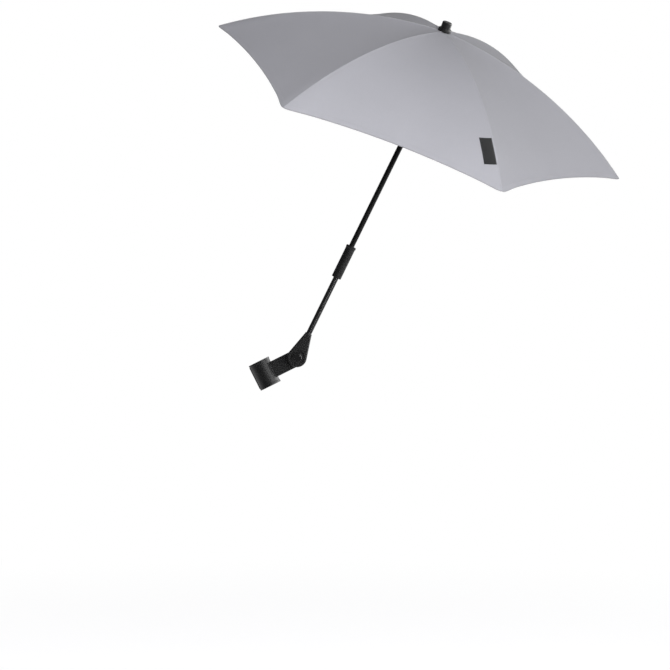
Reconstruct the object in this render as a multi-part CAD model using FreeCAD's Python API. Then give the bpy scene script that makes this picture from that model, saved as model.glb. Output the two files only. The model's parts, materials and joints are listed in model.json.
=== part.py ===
import FreeCAD, Part
import math
import os

Vector = FreeCAD.Vector
Placement = FreeCAD.Placement
Rotation = FreeCAD.Rotation

# Pram parasol: a clamp for a leaning tube carries a friction knuckle, a rod and sleeve,
# a stem that swivels in the sleeve, a tilt joint and a six-rib folding canopy.
# Millimetres and degrees, +Z up, +X along the arm to the right and +Y to the back; the
# knuckle stands in front of the arm. The origin is the middle of the clamp's bore.

# Fits shared by several pieces
RUN_CLEARANCE = 0.05
SIDE_CLEARANCE = 0.3
SEAT_CLEARANCE = 0.05

# Attitude at rest
TUBE_LEAN = 26.5
ARM_LEAN = 26.1
STEM_TURN = -13.7
CANOPY_TILT = 23.0
RIB_TURN = 192.8

# Clamp and its arm
TUBE_RADIUS = 16.0
LINER_WALL = 1.2
CUFF_WALL = 2.8
CUFF_LENGTH = 51.0
LIP_HEIGHT = 0.6
LIP_LENGTH = 4.0
SPLIT_GAP = 1.0
BEAD_RADIUS = 1.1
BEAD_WALL = 0.9
BEAD_NECK = 1.2
EAR_THICKNESS = 7.0
EAR_MARGIN = 1.5
SCREW_RADIUS = 2.0
SCREW_HEAD_RADIUS = 3.5
SCREW_HEAD_HEIGHT = 3.0
SCREW_SPACING = 20.0
KEY_FLATS = 3.0
KEY_DEPTH = 1.5
INSERT_WALL = 1.2
INSERT_FLOOR = 3.0
ARM_LENGTH = 67.5
ARM_WIDTH = 31.0
ARM_THICKNESS = 11.0
ARM_ROUND = 1.5

# Pivot between the clamp and the knuckle
BOLT_RADIUS = 3.0
BOLT_HEAD_RADIUS = 5.0
BOLT_HEAD_HEIGHT = 4.0
NUT_FLATS = 10.0
NUT_HEIGHT = 5.0
WASHER_THICKNESS = 1.2
DISC_RADIUS = 13.0
DISC_THICKNESS = 1.0
PIVOT_CAP_RADIUS = 8.5
PIVOT_CAP_SEAT = 2.5
PIVOT_CAP_RISE = 1.6
PIVOT_CAP_RIM = 2.6
PIVOT_CAP_DISH = 0.7

# Knuckle with its tapered socket
KNUCKLE_RADIUS = 18.0
KNUCKLE_THICKNESS = 14.0
KNUCKLE_ROUND = 2.5
SOCKET_LENGTH = 47.5
MOUTH_RADIUS = 6.5
MOUTH_LENGTH = 2.5
MOUTH_CHAMFER = 0.8
RIM_WALL = 1.3
GROOVE_WIDTH = 4.0
GROOVE_DEPTH = 2.0
SOCKET_FLOOR = 2.0

# Rod, sleeve and swivel
ROD_RADIUS = 5.0
SLEEVE_START = 164.5
SLEEVE_LENGTH = 65.0
SLEEVE_RADIUS = 9.0
SLEEVE_RIM = 0.6
SLEEVE_RIM_LENGTH = 4.0
SLEEVE_ROUND = 0.8
ROD_INSERT = 30.0
SLEEVE_WEB = 3.0
BUSH_WALL = 1.6
CROSS_PIN_RADIUS = 1.5
CROSS_PIN_INSET = 0.4
STEM_RADIUS = 5.0
STEM_WALL = 2.0
STEM_END_GAP = 0.5
SWIVEL_SCREW_RADIUS = 2.0
SWIVEL_SCREW_HEIGHT = 9.0
DOG_RADIUS = 1.4
DOG_CLEARANCE = 0.15
STEM_GROOVE_DEPTH = 1.0

# Tilt joint under the canopy
TILT_REACH = 457.5
TILT_LIMIT = 48.0
JOINT_RADIUS = 7.0
TONGUE_THICKNESS = 6.0
TONGUE_SIDE = 0.2
FLOOR_CLEARANCE = 0.6
FORK_FLOOR = 2.4
STEM_INSERT = 11.0
NECK_CLEARANCE = 1.15
NECK_WIDTH = 10.0
TONGUE_SOCKET = 15.0
TONGUE_FLOOR = 3.0
TILT_PIN_RADIUS = 2.0
CHEEK_INSET = 0.6
RIVET_RADIUS = 1.2
RIVET_INSET = 0.2

# Canopy
RIB_COUNT = 6
CROWN_HEIGHT = 209.0
TIP_RADIUS = 395.0
CANOPY_DROP = 141.0
CLOTH_ARC = 715.0
CLOTH = 0.5
CLOTH_EYE = 7.0
CLOTH_GAP = 0.3
CLOTH_SEAM_GAP = 0.3
CLOTH_SAG = 5.0
HEM_BOW = 15.0
CLOTH_ROWS = 12
CLOTH_COLUMNS = 6

# Crown
STICK_RADIUS = 5.0
STICK_WALL = 1.5
CAP_FLANGE_RADIUS = 12.5
CAP_FLANGE_HEIGHT = 5.5
CAP_BARREL_RADIUS = 9.0
CAP_BARREL_HEIGHT = 12.0
CAP_ROUND = 1.2
CAP_BORE_DEPTH = 9.0
CROWN_WASHER = 0.8
CROWN_WASHER_RADIUS = 11.0

# Hub that the ribs hinge in
HUB_PIVOT_RADIUS = 11.5
HUB_RIM = 3.5
HUB_EDGE = 1.0
HUB_ROOF = 1.4
HUB_SKIRT = 5.0
RIB_RADIUS = 1.5
RIB_EYE_RADIUS = 1.9
RIB_EYE_INSET = 0.2
RIB_PIN_RADIUS = 0.8
RIB_PIN_GRIP = 2.0

# Ribs, clips, stretchers and runner
RIB_CLOSED = 86.0
RIB_TIP_RADIUS = 2.4
RIB_TIP_LENGTH = 9.0
RIB_TIP_INSET = 7.0
CLIP_OUT = 62.0
CLIP_WALL = 1.3
CLIP_LENGTH = 9.0
LUG_THICKNESS = 2.4
LUG_RADIUS = 2.5
LUG_DROP = 6.2
CLIP_PIN_RADIUS = 0.8
STRETCHER_LENGTH = 76.0
STRETCHER_THICKNESS = 2.2
STRETCHER_HEIGHT = 4.0
FORK_CHEEK = 1.2
FORK_DEPTH = 4.0
FORK_WEB = 3.0
STRETCHER_EYE_RADIUS = 2.4
RUNNER_PIVOT_RADIUS = 11.0
RUNNER_WALL = 3.0
RUNNER_FLANGE_RIM = 2.5
RUNNER_FLANGE_HEIGHT = 7.0
RUNNER_LENGTH = 24.0
RUNNER_GRIP_HEIGHT = 4.0
RUNNER_GRIP_RIM = 1.5
STOP_WALL = 2.0
STOP_HEIGHT = 4.0

# Sizes that follow from the ones above
CUFF_INNER = TUBE_RADIUS + LINER_WALL
CUFF_OUTER = CUFF_INNER + CUFF_WALL
SPLIT = SPLIT_GAP / 2
BEAD_OUT = CUFF_INNER + BEAD_WALL + BEAD_RADIUS
BEAD_BACK = SPLIT + BEAD_WALL + BEAD_RADIUS
BEAD_LENGTH = CUFF_LENGTH - 2 * LIP_LENGTH
EAR_HALF = SCREW_HEAD_RADIUS + EAR_MARGIN
EAR_REACH = CUFF_OUTER + 2 * EAR_HALF
SCREW_OUT = CUFF_OUTER + EAR_HALF
EAR_LENGTH = SCREW_SPACING + 2 * EAR_HALF
INSERT_RADIUS = SCREW_RADIUS + INSERT_WALL
INSERT_LENGTH = ARM_THICKNESS - INSERT_FLOOR
ARM_FRONT = -SPLIT - ARM_THICKNESS
KNUCKLE_BACK = ARM_FRONT - DISC_THICKNESS
SHAFT_PLANE = KNUCKLE_BACK - KNUCKLE_THICKNESS / 2
HALF_KNUCKLE = KNUCKLE_THICKNESS / 2
HEAD_POCKET = BOLT_HEAD_RADIUS + SIDE_CLEARANCE
HEAD_FRONT = -HALF_KNUCKLE + PIVOT_CAP_SEAT + SIDE_CLEARANCE
HEAD_BACK = HEAD_FRONT + BOLT_HEAD_HEIGHT
WASHER_BACK = HEAD_BACK + WASHER_THICKNESS
ROD_FOOT = KNUCKLE_RADIUS + SOCKET_FLOOR
ROD_TOP = SLEEVE_START + ROD_INSERT
BUSH_FOOT = ROD_TOP + SLEEVE_WEB
SLEEVE_TOP = SLEEVE_START + SLEEVE_LENGTH
BUSH_INNER = STEM_RADIUS + RUN_CLEARANCE
BUSH_OUTER = BUSH_INNER + BUSH_WALL
STEM_FOOT = BUSH_FOOT + STEM_END_GAP
STEM_BORE = STEM_RADIUS - STEM_WALL
SWIVEL_SCREW_AT = BUSH_FOOT + SWIVEL_SCREW_HEIGHT
FORK_SLOT_FLOOR = -JOINT_RADIUS - FLOOR_CLEARANCE
STEM_TOP = FORK_SLOT_FLOOR - FORK_FLOOR
FORK_FOOT = STEM_TOP - STEM_INSERT
CHEEK_OUT = JOINT_RADIUS - CHEEK_INSET
LIMIT = math.radians(TILT_LIMIT)
NECK_TOP = (JOINT_RADIUS * math.sin(LIMIT) + NECK_CLEARANCE) / math.cos(LIMIT)
TONGUE_TOP = NECK_TOP + TONGUE_SOCKET
STICK_FOOT = NECK_TOP + TONGUE_FLOOR
STICK_TOP = CROWN_HEIGHT + CAP_BORE_DEPTH
RIB_STEP = 360.0 / RIB_COUNT
HALF_GORE = math.radians(RIB_STEP / 2)
HUB_RADIUS = HUB_PIVOT_RADIUS + HUB_RIM
SLOT_WIDTH = 2 * RIB_RADIUS + 2 * SIDE_CLEARANCE
SLIT_WIDTH = STRETCHER_THICKNESS + 2 * SIDE_CLEARANCE
FORK_SLOT = LUG_THICKNESS + 2 * SIDE_CLEARANCE
FORK_WIDTH = FORK_SLOT + 2 * FORK_CHEEK


class Arc:
    """A downward-curving arc in a rib's plane, given by its ends and radius."""

    def __init__(self, start, end, radius):
        run = end[0] - start[0]
        drop = start[1] - end[1]
        slope = math.atan2(drop, run)
        self.half = math.asin(math.hypot(run, drop) / 2 / radius)
        self.first = slope - self.half
        self.radius = radius
        self.centre = (
            start[0] - radius * math.sin(self.first),
            start[1] - radius * math.cos(self.first),
        )
        self.length = 2 * self.half * radius

    def slope(self, share):
        return self.first + 2 * self.half * share

    def point(self, share):
        angle = self.slope(share)
        return (
            self.centre[0] + self.radius * math.sin(angle),
            self.centre[1] + self.radius * math.cos(angle),
        )

    def below(self, share, distance):
        angle = self.slope(share)
        r, z = self.point(share)
        return r - distance * math.sin(angle), z - distance * math.cos(angle)


CLOTH_TOP = CROWN_HEIGHT - CROWN_WASHER
CLOTH_LINE = Arc((CLOTH_EYE, CLOTH_TOP), (TIP_RADIUS, CROWN_HEIGHT - CANOPY_DROP), CLOTH_ARC)


def cloth_point(along, across):
    """The cloth's upper face, from eye to hem and from a rib (0) to the gore's middle (1)."""
    pull = across * (2 - across)
    share = along * (1 - HEM_BOW / CLOTH_LINE.length * pull)
    r, z = CLOTH_LINE.point(share)
    middle = r * math.cos(HALF_GORE)
    x = r + across * (middle * math.cos(HALF_GORE) - r)
    y = across * middle * math.sin(HALF_GORE)
    return Vector(x, y, z - CLOTH_SAG * 4 * share * (1 - share) * pull)


def share_at_radius(radius):
    """Where along the cloth's line the gore's middle passes a radius."""
    return (radius / math.cos(HALF_GORE) - CLOTH_EYE) / (TIP_RADIUS - CLOTH_EYE)


HUB_TOP = cloth_point(share_at_radius(HUB_RADIUS + HUB_EDGE), 1).z - CLOTH - CLOTH_GAP
RIB_PIVOT_HEIGHT = HUB_TOP - HUB_ROOF - RIB_EYE_RADIUS - SIDE_CLEARANCE
RIB_SEAT = CLOTH + CLOTH_GAP + RIB_TIP_RADIUS
RIB_PIVOT = (HUB_PIVOT_RADIUS, RIB_PIVOT_HEIGHT)
RIB_END = 1 - RIB_TIP_INSET / CLOTH_LINE.length
RIB_LINE = Arc(RIB_PIVOT, CLOTH_LINE.below(RIB_END, RIB_SEAT), CLOTH_ARC - RIB_SEAT)
CLIP_SHARE = CLIP_OUT / RIB_LINE.length
CLIP_PIVOT = RIB_LINE.below(CLIP_SHARE, LUG_DROP)
RIB_CHORD = math.degrees(RIB_LINE.first + RIB_LINE.half)
RUNNER_FOOT = RUNNER_LENGTH - RUNNER_FLANGE_HEIGHT / 2
LOWEST_STOP = TONGUE_TOP + SIDE_CLEARANCE
LOWEST_RUNNER = LOWEST_STOP + STOP_HEIGHT + SIDE_CLEARANCE + RUNNER_FOOT
FOLD_STEPS = 40


def turned(point, centre, angle):
    """A point of a rib's plane, swung down about a centre by an angle in degrees."""
    a = math.radians(angle)
    r, z = point[0] - centre[0], point[1] - centre[1]
    return (
        centre[0] + r * math.cos(a) + z * math.sin(a),
        centre[1] - r * math.sin(a) + z * math.cos(a),
    )


def runner_below(clip):
    """The height of the runner's pivots that suits a place of the clip's pin."""
    inward = clip[0] - RUNNER_PIVOT_RADIUS
    return clip[1] - math.sqrt(STRETCHER_LENGTH**2 - inward**2)


def runner_at(fold):
    """The height of the runner's pivots when the ribs have folded by an angle."""
    return runner_below(turned(CLIP_PIVOT, RIB_PIVOT, fold))


def closing_fold():
    """The fold that closes the ribs, or that brings the stop down to the tongue."""
    low, high = 0.0, RIB_CLOSED - RIB_CHORD
    if runner_at(high) >= LOWEST_RUNNER:
        return high
    for _ in range(FOLD_STEPS):
        middle = (low + high) / 2
        if runner_at(middle) >= LOWEST_RUNNER:
            low = middle
        else:
            high = middle
    return low


RIB_FOLD = closing_fold()
CLIP_CLOSED = turned(CLIP_PIVOT, RIB_PIVOT, RIB_FOLD)
RUNNER_OPEN = runner_below(CLIP_PIVOT)
RUNNER_CLOSED = runner_below(CLIP_CLOSED)
RUNNER_TRAVEL = RUNNER_OPEN - RUNNER_CLOSED


def stretcher_angle(clip, height):
    """A stretcher's angle below the horizontal, in degrees, as it points inwards."""
    return math.degrees(math.atan2(clip[1] - height, clip[0] - RUNNER_PIVOT_RADIUS))


STRETCHER_OPEN = stretcher_angle(CLIP_PIVOT, RUNNER_OPEN)
STRETCHER_CLOSED = stretcher_angle(CLIP_CLOSED, RUNNER_CLOSED)
STRETCHER_FOLD = RIB_FOLD + STRETCHER_CLOSED - STRETCHER_OPEN

# Frames of the moving groups at rest
AXIS_X = Vector(1, 0, 0)
AXIS_Y = Vector(0, 1, 0)
AXIS_Z = Vector(0, 0, 1)
CLAMP_FRAME = Placement(Vector(), Rotation(AXIS_Y, -TUBE_LEAN))
PIVOT = CLAMP_FRAME.multVec(Vector(ARM_LENGTH, SHAFT_PLANE, 0))
ARM_FRAME = Placement(PIVOT, Rotation(AXIS_Y, ARM_LEAN))
STEM_FRAME = ARM_FRAME.multiply(Placement(Vector(), Rotation(AXIS_Z, STEM_TURN)))
FORK_FRAME = STEM_FRAME.multiply(Placement(Vector(0, 0, TILT_REACH), Rotation()))
HEAD_FRAME = FORK_FRAME.multiply(Placement(Vector(), Rotation(AXIS_X, CANOPY_TILT)))


def rib_frame(number):
    """The frame of a rib: X outwards along the rib, Z up along the canopy's stick."""
    turn = Rotation(AXIS_Z, RIB_TURN + RIB_STEP * number)
    return HEAD_FRAME.multiply(Placement(Vector(), turn))


def bar(radius, start, end):
    """A round bar from one point to another."""
    along = Vector(*end).sub(Vector(*start))
    return Part.makeCylinder(radius, along.Length, Vector(*start), along)


def upright(radius, low, high):
    """A round bar along Z."""
    return bar(radius, (0, 0, low), (0, 0, high))


def block(low, high):
    """A box between two corners."""
    size = Vector(*high).sub(Vector(*low))
    return Part.makeBox(size.x, size.y, size.z, Vector(*low))


def fused(*solids):
    """Solids joined into one, without leftover seams."""
    return solids[0].multiFuse(list(solids[1:])).removeSplitter()


def spun(profile):
    """A solid of revolution about Z from (radius, height) corners."""
    points = [Vector(r, 0, z) for r, z in profile]
    wire = Part.makePolygon(points + points[:1])
    return Part.Face(wire).revolve(Vector(), AXIS_Z, 360)


def prism(outline, low, high):
    """An outline of (x, z) corners, carried along Y."""
    points = [Vector(x, low, z) for x, z in outline]
    wire = Part.makePolygon(points + points[:1])
    return Part.Face(wire).extrude(Vector(0, high - low, 0))


def rounded_face(solid, y, radius):
    """A solid with the outline of its face at a given Y rounded over."""
    edges = [
        e for e in solid.Edges
        if all(abs(v.Point.y - y) < 1e-6 for v in e.Vertexes)
    ]
    return solid.makeFillet(radius, edges)


def flat_ring(inner, outer, low, high):
    """A washer about the Y axis."""
    return bar(outer, (0, low, 0), (0, high, 0)).cut(bar(inner, (0, low, 0), (0, high, 0)))


# Clamp

def screw_places():
    """The two clamp screws behind the arm, as (x, z) in the clamp's frame."""
    return [(SCREW_OUT, end * SCREW_SPACING / 2) for end in (-1, 1)]


def cuff():
    """The clamp's round wall with a lip at each end."""
    half = CUFF_LENGTH / 2
    lip = CUFF_OUTER + LIP_HEIGHT
    return fused(
        upright(CUFF_OUTER, -half, half),
        upright(lip, -half, -half + LIP_LENGTH),
        upright(lip, half - LIP_LENGTH, half),
    )


def beyond_split(side):
    """The space on the far side of a clamp half's joint face."""
    reach = ARM_LENGTH + ARM_WIDTH + EAR_REACH + CUFF_LENGTH
    near, far = sorted((side * SPLIT, -side * reach))
    return block((-reach, near, -reach), (reach, far, reach))


def tube_bore(radius):
    return upright(radius, -CUFF_LENGTH, CUFF_LENGTH)


def left_bar(radius, y, half):
    """A round bar along the cuff's left side."""
    return bar(radius, (-BEAD_OUT, y, -half), (-BEAD_OUT, y, half))


def hinge_bead(half, room):
    """The bead the halves hang together by, and its neck, with some room about them."""
    side = BEAD_NECK / 2 + room
    neck = block(
        (-BEAD_OUT - side, -BEAD_BACK, -half),
        (-BEAD_OUT + side, BEAD_BACK, half),
    )
    return fused(neck, left_bar(BEAD_RADIUS + room, BEAD_BACK, half))


def clamp_half(side, *shapes):
    """A half of the clamp: the cuff, a barrel on its left and the shapes that join it."""
    barrel = left_bar(BEAD_RADIUS + BEAD_WALL, side * BEAD_BACK, BEAD_LENGTH / 2)
    whole = fused(cuff(), barrel, *shapes)
    return whole.cut(beyond_split(side)).cut(tube_bore(CUFF_INNER))


def clamp_front():
    """The near half of the clamp, with the flat arm out to the pivot."""
    half = ARM_WIDTH / 2
    plate = fused(
        block((0, ARM_FRONT, -half), (ARM_LENGTH, -SPLIT, half)),
        bar(half, (ARM_LENGTH, ARM_FRONT, 0), (ARM_LENGTH, -SPLIT, 0)),
    )
    plate = rounded_face(plate, ARM_FRONT, ARM_ROUND)
    body = fused(clamp_half(-1, plate), hinge_bead(BEAD_LENGTH / 2, 0))
    for x, z in screw_places():
        body = body.cut(bar(INSERT_RADIUS, (x, -SPLIT - INSERT_LENGTH, z), (x, -SPLIT, z)))
    hole = bar(BOLT_RADIUS + RUN_CLEARANCE, (ARM_LENGTH, ARM_FRONT, 0), (ARM_LENGTH, 0, 0))
    return body.cut(hole).cut(pivot_nut_blank()).removeSplitter()


def clamp_back():
    """The far half of the clamp, with an ear for the screws and a channel for the bead."""
    ear = block(
        (0, SPLIT, -EAR_LENGTH / 2),
        (EAR_REACH, SPLIT + EAR_THICKNESS, EAR_LENGTH / 2),
    )
    body = clamp_half(1, ear).cut(hinge_bead(CUFF_LENGTH, SEAT_CLEARANCE))
    for x, z in screw_places():
        hole = bar(SCREW_RADIUS + SEAT_CLEARANCE, (x, 0, z), (x, CUFF_OUTER + EAR_THICKNESS, z))
        body = body.cut(hole)
    return body.removeSplitter()


def clamp_liners():
    """The rubber strips that grip the tube, one in each half."""
    half = CUFF_LENGTH / 2
    ring = upright(CUFF_INNER, -half, half).cut(tube_bore(TUBE_RADIUS))
    return [ring.cut(beyond_split(side)) for side in (-1, 1)]


def clamp_screws():
    """Screws that go in through the far half's ear."""
    seat = SPLIT + EAR_THICKNESS
    top = seat + SCREW_HEAD_HEIGHT
    screws = []
    for x, z in screw_places():
        head = bar(SCREW_HEAD_RADIUS, (x, seat, z), (x, top, z))
        shank = bar(SCREW_RADIUS, (x, -SPLIT - INSERT_LENGTH, z), (x, seat, z))
        key = hexagon(KEY_FLATS, top - KEY_DEPTH, top)
        key.translate(Vector(x, 0, z))
        screws.append(fused(head, shank).cut(key))
    return screws


def clamp_inserts():
    """Threaded brass inserts in the near half."""
    inserts = []
    for x, z in screw_places():
        ends = (x, -SPLIT - INSERT_LENGTH, z), (x, -SPLIT, z)
        inserts.append(bar(INSERT_RADIUS, *ends).cut(bar(SCREW_RADIUS, *ends)))
    return inserts


def hexagon(flats, low, high):
    """A hexagonal prism along Y."""
    corner = flats / 2 / math.cos(math.pi / 6)
    outline = [
        (corner * math.cos(k * math.pi / 3), corner * math.sin(k * math.pi / 3))
        for k in range(6)
    ]
    return prism(outline, low, high)


# Pivot

def pivot_nut_blank():
    """The nut without its hole, let into the arm's back face."""
    nut = hexagon(NUT_FLATS, -SPLIT - NUT_HEIGHT, -SPLIT)
    nut.translate(Vector(ARM_LENGTH, 0, 0))
    return nut


def pivot_nut():
    return pivot_nut_blank().cut(bar(BOLT_RADIUS, (ARM_LENGTH, ARM_FRONT, 0), (ARM_LENGTH, 0, 0)))


def pivot_bolt():
    """The bolt that the knuckle turns on, from its head to the nut's far face."""
    end = -SPLIT - SHAFT_PLANE
    head = bar(BOLT_HEAD_RADIUS, (0, HEAD_FRONT, 0), (0, HEAD_BACK, 0))
    return fused(head, bar(BOLT_RADIUS, (0, HEAD_BACK, 0), (0, end, 0)))


def spring_washer():
    return flat_ring(BOLT_RADIUS, BOLT_HEAD_RADIUS, HEAD_BACK, WASHER_BACK)


def friction_disc():
    inner = BOLT_RADIUS + RUN_CLEARANCE
    return flat_ring(inner, DISC_RADIUS, HALF_KNUCKLE, HALF_KNUCKLE + DISC_THICKNESS)


def pivot_cap():
    """The dished button that closes the bolt's recess."""
    front = -HALF_KNUCKLE - PIVOT_CAP_RISE
    seat = -HALF_KNUCKLE + PIVOT_CAP_SEAT
    button = bar(PIVOT_CAP_RADIUS, (0, front, 0), (0, seat, 0))
    button = rounded_face(button, front, PIVOT_CAP_RISE / 2)
    dish = bar(PIVOT_CAP_RADIUS - PIVOT_CAP_RIM, (0, front, 0), (0, front + PIVOT_CAP_DISH, 0))
    return button.cut(dish)


# Knuckle, rod and sleeve

def teardrop():
    """The knuckle's outline: a disc with straight flanks up to the socket's mouth."""
    distance = math.hypot(MOUTH_RADIUS, SOCKET_LENGTH)
    turn = math.atan2(SOCKET_LENGTH, MOUTH_RADIUS) - math.acos(KNUCKLE_RADIUS / distance)
    x = KNUCKLE_RADIUS * math.cos(turn)
    z = KNUCKLE_RADIUS * math.sin(turn)
    right, left = Vector(x, 0, z), Vector(-x, 0, z)
    top_right = Vector(MOUTH_RADIUS, 0, SOCKET_LENGTH)
    top_left = Vector(-MOUTH_RADIUS, 0, SOCKET_LENGTH)
    edges = [
        Part.LineSegment(right, top_right).toShape(),
        Part.LineSegment(top_right, top_left).toShape(),
        Part.LineSegment(top_left, left).toShape(),
        Part.Arc(left, Vector(0, 0, -KNUCKLE_RADIUS), right).toShape(),
    ]
    return Part.Face(Part.Wire(edges))


def knuckle():
    """The turning disc and tapered socket that hold the rod's foot."""
    face = teardrop()
    face.translate(Vector(0, -HALF_KNUCKLE, 0))
    body = face.extrude(Vector(0, KNUCKLE_THICKNESS, 0))
    body = rounded_face(body, -HALF_KNUCKLE, KNUCKLE_ROUND)
    top = SOCKET_LENGTH + MOUTH_LENGTH
    mouth = spun([
        (0, ROD_FOOT),
        (MOUTH_RADIUS, ROD_FOOT),
        (MOUTH_RADIUS, top - MOUTH_CHAMFER),
        (MOUTH_RADIUS - MOUTH_CHAMFER, top),
        (0, top),
    ])
    body = fused(body, mouth).cut(upright(ROD_RADIUS, ROD_FOOT, top))
    inner = PIVOT_CAP_RADIUS + RIM_WALL
    groove = flat_ring(inner, inner + GROOVE_WIDTH, -HALF_KNUCKLE, -HALF_KNUCKLE + GROOVE_DEPTH)
    seat = bar(PIVOT_CAP_RADIUS, (0, -HALF_KNUCKLE, 0), (0, -HALF_KNUCKLE + PIVOT_CAP_SEAT, 0))
    pocket = bar(HEAD_POCKET, (0, -HALF_KNUCKLE, 0), (0, WASHER_BACK, 0))
    hole = bar(BOLT_RADIUS + RUN_CLEARANCE, (0, -HALF_KNUCKLE, 0), (0, HALF_KNUCKLE, 0))
    for hollow in (groove, seat, pocket, hole, rod_pin()):
        body = body.cut(hollow)
    return body.removeSplitter()


def rod_pin():
    """The pin that keeps the rod in the knuckle, driven in from behind."""
    height = (ROD_FOOT + SOCKET_LENGTH) / 2
    return bar(CROSS_PIN_RADIUS, (0, -ROD_RADIUS, height), (0, HALF_KNUCKLE - CROSS_PIN_INSET, height))


def sleeve_pin():
    """The pin that keeps the sleeve on the rod."""
    height = SLEEVE_START + ROD_INSERT / 2
    end = SLEEVE_RADIUS - CROSS_PIN_INSET
    return bar(CROSS_PIN_RADIUS, (0, -ROD_RADIUS, height), (0, end, height))


def lower_rod():
    rod = upright(ROD_RADIUS, ROD_FOOT, ROD_TOP)
    return rod.cut(rod_pin()).cut(sleeve_pin())


def sleeve():
    """The coupling: fixed to the rod below, with a bush for the turning stem above."""
    rim = SLEEVE_RADIUS + SLEEVE_RIM
    rim_foot = SLEEVE_TOP - SLEEVE_RIM_LENGTH
    body = spun([
        (0, SLEEVE_START),
        (SLEEVE_RADIUS - SLEEVE_ROUND, SLEEVE_START),
        (SLEEVE_RADIUS, SLEEVE_START + SLEEVE_ROUND),
        (SLEEVE_RADIUS, rim_foot - SLEEVE_RIM),
        (rim, rim_foot),
        (rim, SLEEVE_TOP - SLEEVE_ROUND),
        (rim - SLEEVE_ROUND, SLEEVE_TOP),
        (0, SLEEVE_TOP),
    ])
    hollows = (
        upright(ROD_RADIUS, SLEEVE_START, ROD_TOP),
        upright(BUSH_OUTER, BUSH_FOOT, SLEEVE_TOP),
        sleeve_pin(),
        swivel_screw_body(),
    )
    for hollow in hollows:
        body = body.cut(hollow)
    return body


def swivel_bush():
    """The plastic bearing that the stem turns in."""
    bush = upright(BUSH_OUTER, BUSH_FOOT, SLEEVE_TOP)
    return bush.cut(upright(BUSH_INNER, BUSH_FOOT, SLEEVE_TOP)).cut(swivel_screw_body())


def swivel_screw_body():
    inner, outer = BUSH_INNER + SIDE_CLEARANCE / 2, SLEEVE_RADIUS - CROSS_PIN_INSET
    thread = bar(SWIVEL_SCREW_RADIUS, (0, inner, SWIVEL_SCREW_AT), (0, outer, SWIVEL_SCREW_AT))
    tip = STEM_RADIUS - STEM_GROOVE_DEPTH + DOG_CLEARANCE
    dog = bar(DOG_RADIUS, (0, tip, SWIVEL_SCREW_AT), (0, inner, SWIVEL_SCREW_AT))
    return fused(thread, dog)


def swivel_screw():
    """The screw whose plain tip runs in the stem's groove and keeps the stem in."""
    end = SLEEVE_RADIUS - CROSS_PIN_INSET
    key = hexagon(SWIVEL_SCREW_RADIUS, end - SWIVEL_SCREW_RADIUS, end)
    key.translate(Vector(0, 0, SWIVEL_SCREW_AT))
    return swivel_screw_body().cut(key)


def upper_stem():
    """The tube from the sleeve up to the tilt joint, with a groove near its foot."""
    top = TILT_REACH + STEM_TOP
    tube = upright(STEM_RADIUS, STEM_FOOT, top).cut(upright(STEM_BORE, STEM_FOOT, top))
    half = DOG_RADIUS + SIDE_CLEARANCE
    low, high = SWIVEL_SCREW_AT - half, SWIVEL_SCREW_AT + half
    inner = STEM_RADIUS - STEM_GROOVE_DEPTH
    groove = upright(STEM_RADIUS + SIDE_CLEARANCE, low, high).cut(upright(inner, low, high))
    rivet = fork_rivet()
    rivet.translate(Vector(0, 0, TILT_REACH))
    return tube.cut(groove).cut(rivet)


# Tilt joint

def cross_rivet(height):
    end = JOINT_RADIUS - RIVET_INSET
    return bar(RIVET_RADIUS, (0, -end, height), (0, end, height))


def fork_rivet():
    return cross_rivet(STEM_TOP - STEM_INSERT / 2)


def tongue_rivet():
    return cross_rivet((STICK_FOOT + TONGUE_TOP) / 2)


def tilt_pin():
    return bar(TILT_PIN_RADIUS, (-CHEEK_OUT, 0, 0), (CHEEK_OUT, 0, 0))


def tilt_fork():
    """The fork on the stem's top, with a round cheek each side of the tongue."""
    reach = 2 * JOINT_RADIUS
    half_slot = TONGUE_THICKNESS / 2 + TONGUE_SIDE
    slot = block((-half_slot, -reach, FORK_SLOT_FLOOR), (half_slot, reach, reach))
    cheeks = [
        bar(JOINT_RADIUS, (side * half_slot, 0, 0), (side * CHEEK_OUT, 0, 0))
        for side in (-1, 1)
    ]
    body = fused(upright(JOINT_RADIUS, FORK_FOOT, 0).cut(slot), *cheeks)
    for hollow in (upright(STEM_RADIUS, FORK_FOOT, STEM_TOP), tilt_pin(), fork_rivet()):
        body = body.cut(hollow)
    return body.removeSplitter()


def tilt_tongue():
    """The tongue between the fork's cheeks, with a socket for the canopy's stick."""
    half = TONGUE_THICKNESS / 2
    neck = block((-half, -NECK_WIDTH / 2, 0), (half, NECK_WIDTH / 2, NECK_TOP))
    disc = bar(JOINT_RADIUS, (-half, 0, 0), (half, 0, 0))
    body = fused(disc, neck, upright(JOINT_RADIUS, NECK_TOP, TONGUE_TOP))
    hole = bar(TILT_PIN_RADIUS + RUN_CLEARANCE, (-half, 0, 0), (half, 0, 0))
    for hollow in (hole, upright(STICK_RADIUS, STICK_FOOT, TONGUE_TOP), tongue_rivet()):
        body = body.cut(hollow)
    return body.removeSplitter()


# Crown

def canopy_stick():
    """The tube up the canopy's middle that the runner slides on."""
    tube = upright(STICK_RADIUS, STICK_FOOT, STICK_TOP)
    return tube.cut(upright(STICK_RADIUS - STICK_WALL, STICK_FOOT, STICK_TOP)).cut(tongue_rivet())


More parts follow.
